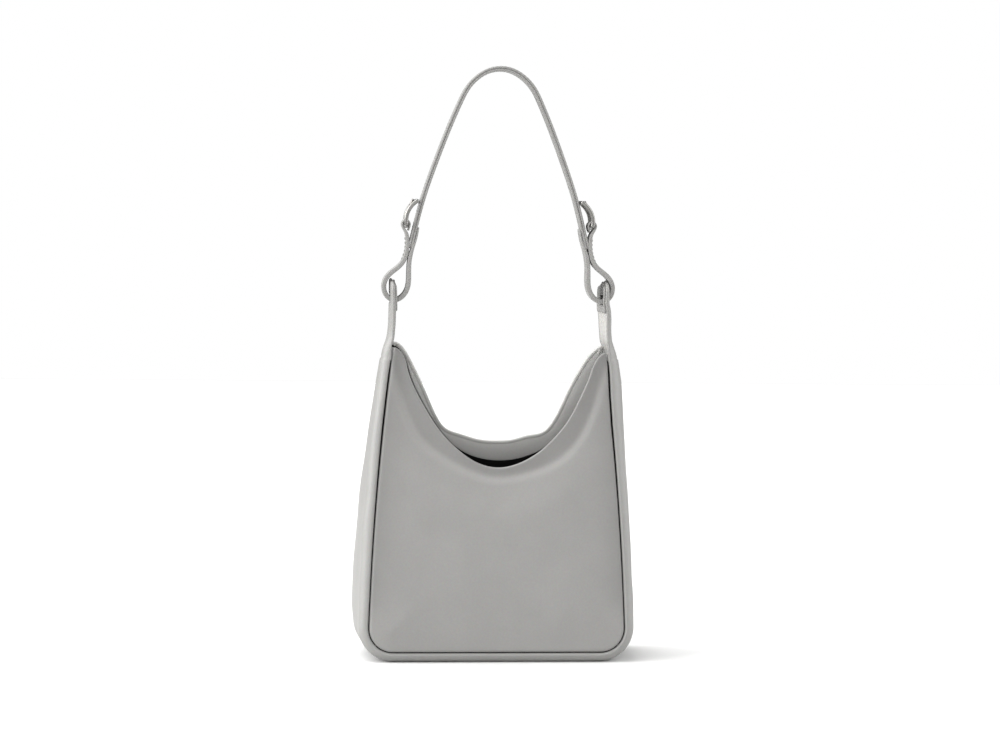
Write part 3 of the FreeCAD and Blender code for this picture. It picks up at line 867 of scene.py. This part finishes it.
def stitch_faces(first, sign):
    """One stitch's faces, turned over when it lies on the path's other side."""
    faces = []
    for c in range(len(STITCH) - 1):
        for j in range(STITCH_SIDES):
            a, b = first + c * STITCH_SIDES + j, first + c * STITCH_SIDES + (j + 1) % STITCH_SIDES
            quad = (a, b, b + STITCH_SIDES, a + STITCH_SIDES)
            faces.append(quad if sign > 0 else (b, a, a + STITCH_SIDES, b + STITCH_SIDES))
    for c, turn in ((0, 1), (len(STITCH) - 1, -1)):
        ring = [first + c * STITCH_SIDES + j for j in range(STITCH_SIDES)]
        faces.append(tuple(ring[::-1] if turn * sign > 0 else ring))
    return faces


def stitches(name, path, offsets, inset, pitch=3.4):
    """Rows of short raised stitches along a path, on faces that lie at offsets from it."""
    p = np.asarray(path, float)
    s = run_length(p)
    d = directions(p)
    points = stitch_points()
    verts, faces = [], []
    count = int((s[-1] - 2 * inset) / pitch)
    for k in range(count + 1):
        at = inset + k * (s[-1] - 2 * inset) / max(count, 1)
        x, z = np.interp(at, s, p[:, 0]), np.interp(at, s, p[:, 1])
        dx, dz = np.interp(at, s, d[:, 0]), np.interp(at, s, d[:, 1])
        dx, dz = dx / math.hypot(dx, dz), dz / math.hypot(dx, dz)
        for offset in offsets:
            sign = 1 if offset > 0 else -1
            for row in STITCH_ROWS:
                faces += stitch_faces(len(verts), sign)
                for along, across, up in points:
                    out = offset + sign * up
                    verts.append((x + dx * along - dz * out, row + across, z + dz * along + dx * out))
    return make_object(name, np.array(verts), faces, [THREAD])


def hole_centres():
    """Three holes at each end of the long strap, each with the strap's normal there."""
    holes = []
    right = cubic(STRAP_LINE, 400)
    for k in range(3):
        i = int(np.argmin(np.abs(right[:, 1] - (HOLE_Z + HOLE_STEP * k))))
        d = right[i + 1] - right[i - 1]
        d /= np.linalg.norm(d)
        for s in (1, -1):
            holes.append(((s * right[i, 0], right[i, 1]), (s * d[1], -d[0])))
    return holes


def build_long_strap():
    """The two bonded plies of the long strap, with holes at both ends and two rows of stitches."""
    line = [(-x, z) for x, z in STRAP_LINE] + list(reversed(STRAP_LINE[:-1]))
    path = cubic(line, 190)
    holes = hole_centres()
    for name, low, high, slot in (
        ("strap_outer_leather", 0.03, 2.0, "strap_leather"),
        ("strap_inner_leather", -2.05, 0.0, "strap_back_leather"),
    ):
        verts, faces, marks = ply(path, low, high)
        o = make_object(name, verts, faces, [STRAP_LEATHER, EDGE_PAINT], marks)
        cut_holes(o, holes)
        o.data.polygons.foreach_set("use_smooth", np.full(len(o.data.polygons), True))
        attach(o, "strap")
        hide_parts("strap_outer_ply" if "outer" in name else "strap_inner_ply")
    rows = stitches("strap_thread", path, [2.08, -2.05], inset=5)
    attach(rows, "strap")


# the link strap's centre line with its thickness: (x, z, thickness)
LINK = [
    (69.0, 367.6, 1.5), (70.5, 359, 1.6), (72.8, 352, 2.2), (75.0, 345.5, 3.3), (76.4, 337.5, 3.6),
    (76.7, 327, 3.9), (78.0, 315.3, 4.0), (82.4, 308.6, 4.0), (88.8, 305.8, 4.0), (94.4, 308.3, 4.0),
    (97.6, 314.3, 4.0), (97.3, 321.0, 4.0), (93.2, 327.6, 4.0), (86.4, 333.2, 3.9), (81.2, 339.2, 3.7),
    (78.9, 345.8, 3.6), (78.0, 352.5, 3.4), (78.2, 359, 3.1), (79.8, 364.2, 2.4), (82.2, 368.2, 1.9),
    (82.3, 372.0, 1.8), (79.6, 373.5, 1.8), (76.8, 371.9, 1.7), (76.5, 368.4, 1.5), (77.6, 364.9, 1.1),
]
LINK_SEAM = LINK[14:18]  # the stitched stretch above the loop


def prong_slit(side):
    """A box through the wrap, where the prong's eye sits."""
    low = (BAR[0] - 4.6, -2.3, BAR[1] - 3.6)
    high = (BAR[0] + 8.0, 2.3, BAR[1] + 8.0)
    xs, ys, zs = zip(low, high)
    box = np.array([[side * x, y, z] for x in xs for y in ys for z in zs])
    quads = [(0, 1, 3, 2), (4, 6, 7, 5), (0, 4, 5, 1), (2, 3, 7, 6), (0, 2, 6, 4), (1, 5, 7, 3)]
    if side < 0:
        quads = [tuple(reversed(q)) for q in quads]
    return make_object("cutter", box, quads, [EDGE_PAINT], smooth_faces=False)


def build_link(side, name):
    """A link strap: folded through the neck's slot, with its top round the buckle's bar."""
    path = cubic([(side * x, z, t) for x, z, t in LINK], 150)

    def profile(i, at, length):
        t = path[i, 2]
        end = min(at, length - at)
        width = STRAP_HALF - 1.5 * (1 - min(1.0, end / 2.5)) ** 2
        return strap_ring(-t / 2, t / 2, width, crown=0.18)

    verts, faces, marks = sweep(path[:, :2], profile)
    if side < 0:
        faces = [tuple(reversed(f)) for f in faces]
    o = make_object(name + "_link_leather", verts, faces, [STRAP_LEATHER, EDGE_PAINT], marks)
    cut_away(o, prong_slit(side), use_self=True)
    o.data.polygons.foreach_set("use_smooth", np.full(len(o.data.polygons), True))
    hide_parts(name + "_link_strap")
    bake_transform(o)
    # two rows of stitches close the fold above the loop, on its outer face
    upper = cubic([(side * x, z) for x, z, _ in LINK_SEAM], 24)
    seam = stitches(name + "_link_thread", upper, [2.05 if side < 0 else -2.05], inset=1.0)
    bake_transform(seam)


build_long_strap()
build_link(1, "right")
build_link(-1, "left")


# ---------------------------------------------------------------- CAD nodes that stay, with better materials
for node, material in {
    "left_buckle_frame": NICKEL, "right_buckle_frame": NICKEL,
    "left_buckle_prong": NICKEL, "right_buckle_prong": NICKEL,
    "snap_stud": SNAP, "snap_socket": SNAP, "base_board": BOARD,
}.items():
    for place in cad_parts[node].material_slots:
        place.link = "OBJECT"
        place.material = material


# ---------------------------------------------------------------- floor, light and camera
def light_world():
    """A white background, and for all other rays a studio that is dark below and bright above."""
    world = bpy.data.worlds.new("studio")
    bpy.context.scene.world = world
    world.use_nodes = True
    nodes, links = world.node_tree.nodes, world.node_tree.links
    plain = nodes["Background"]
    plain.inputs["Color"].default_value = (1, 1, 1, 1)
    plain.inputs["Strength"].default_value = 1.0
    room = nodes.new("ShaderNodeBackground")
    room.inputs["Strength"].default_value = 1.0
    coord = nodes.new("ShaderNodeTexCoord")
    split = nodes.new("ShaderNodeSeparateXYZ")
    links.new(coord.outputs["Generated"], split.inputs["Vector"])
    ramp = nodes.new("ShaderNodeValToRGB")
    links.new(split.outputs["Z"], ramp.inputs["Fac"])
    stops = ramp.color_ramp.elements
    floor_end, sky_end = stops
    floor_end.position, floor_end.color = 0.0, (0.16, 0.16, 0.16, 1)
    sky_end.position, sky_end.color = 0.85, (0.75, 0.75, 0.74, 1)
    for place, level in ((0.22, 0.22), (0.45, 0.55)):
        stop = stops.new(place)
        stop.color = (level, level, level, 1)
    links.new(ramp.outputs["Color"], room.inputs["Color"])
    mix = nodes.new("ShaderNodeMixShader")
    path = nodes.new("ShaderNodeLightPath")
    links.new(path.outputs["Is Camera Ray"], mix.inputs["Fac"])
    links.new(room.outputs["Background"], mix.inputs[1])
    links.new(plain.outputs["Background"], mix.inputs[2])
    links.new(mix.outputs["Shader"], nodes["World Output"].inputs["Surface"])


def build_floor():
    """A plain pale floor, just below the bag."""
    half, n = 3000.0, 24
    c = np.linspace(-half, half, n)
    verts = [(x, y, -0.15) for x in c for y in c]
    cells = [(i, j) for i in range(n - 1) for j in range(n - 1)]
    faces = [(i * n + j, (i + 1) * n + j, (i + 1) * n + j + 1, i * n + j + 1) for i, j in cells]
    floor_mat = node_material("floor", (0.6, 0.6, 0.597), 0.004, (0.6, 0.7), [("noise", 30.0, 0.02, 0.2)])
    floor = make_object("floor", np.array(verts, float), faces, [floor_mat])


def light_suns():
    """Wide, soft suns, as (name, direction towards it, strength, angular size in degrees)."""
    for name, place, strength, spread in (
        ("left_sun", (-1.0, -0.12, 0.4), 4.4, 50),
        ("right_sun", (1.0, -0.12, 0.4), 2.6, 60),
        ("top_sun", (-0.4, 0.1, 1.0), 3.0, 50),
        ("front_sun", (-0.15, -1.0, 0.35), 1.4, 70),
    ):
        data = bpy.data.lights.new(name, "SUN")
        data.energy = strength
        data.angle = math.radians(spread)
        light = bpy.data.objects.new(name, data)
        bpy.context.scene.collection.objects.link(light)
        light.rotation_euler = Vector([-c for c in place]).to_track_quat("-Z", "Y").to_euler()


# the camera, in metres and degrees: a little from the left and from above
AIM = Vector((0.0025, 0, 0.2505))
DISTANCE, AZIMUTH, ELEVATION, ROLL = 2.0, math.radians(-4.5), math.radians(4.0), math.radians(0.72)
LENS = 83.9


def place_camera():
    cam_data = bpy.data.cameras.new("camera")
    cam_data.lens = LENS
    cam_data.sensor_width = 36
    cam_data.clip_start, cam_data.clip_end = 0.05, 50
    cam = bpy.data.objects.new("camera", cam_data)
    bpy.context.scene.collection.objects.link(cam)
    bpy.context.scene.camera = cam
    level = math.cos(ELEVATION)
    back = Vector((math.sin(AZIMUTH) * level, -math.cos(AZIMUTH) * level, math.sin(ELEVATION)))
    cam.location = AIM + back * DISTANCE
    cam.rotation_mode = "QUATERNION"
    cam.rotation_quaternion = (-back).to_track_quat("-Z", "Y") @ Quaternion((0, 0, 1), ROLL)


build_floor()
light_world()
light_suns()
bpy.context.scene.view_settings.view_transform = "Standard"
bpy.context.scene.view_settings.look = "None"
place_camera()
